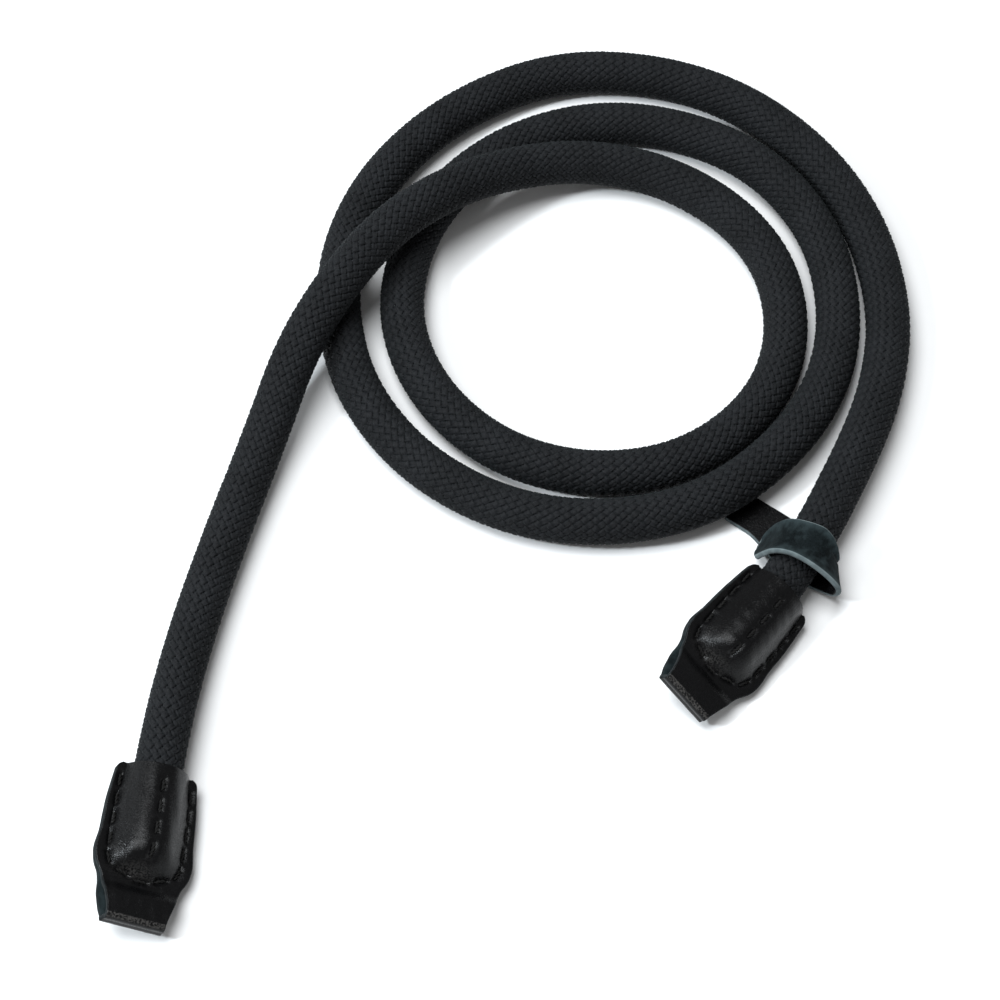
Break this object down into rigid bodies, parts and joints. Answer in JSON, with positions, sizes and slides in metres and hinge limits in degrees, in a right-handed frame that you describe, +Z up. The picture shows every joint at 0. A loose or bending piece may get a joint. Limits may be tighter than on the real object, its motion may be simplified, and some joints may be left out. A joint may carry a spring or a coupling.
{
  "type": "braided rope strap",
  "caption": "Braided rope strap lying in loose turns, with a stitched folded-leather loop at each end and a leather keeper that slides on the rope.",
  "frame": {"origin": "on the table, under the middle of the box round the two end caps and the keeper", "axes": "+Z up, the rope's turns lie towards +Y, the left cap is at -X"},
  "size_m": [0.2047, 0.2706, 0.0262],
  "materials": {
    "braid": "fine black braid with a soft sheen",
    "core_fibre": "undyed fibre",
    "leather": "smooth glossy black grain, grey-green flesh side",
    "thread": "waxed black thread",
    "tape": "matt black cloth tape"
  },
  "bodies": {
    "strap": {"rope_sheath": "braid", "rope_core": "core_fibre", "left_cap_leather": "leather", "left_edge_thread": "thread", "left_centre_thread": "thread", "left_rope_tape": "tape", "right_cap_leather": "leather", "right_edge_thread": "thread", "right_centre_thread": "thread", "right_rope_tape": "tape"},
    "keeper": {"keeper_leather": "leather"}
  },
  "joints": [
    {"name": "keeper_slide", "type": "slide", "parent": "strap", "child": "keeper", "axis": [0.4534, 0.8913, 0], "range_m": [-0.0015, 0.01]}
  ]
}
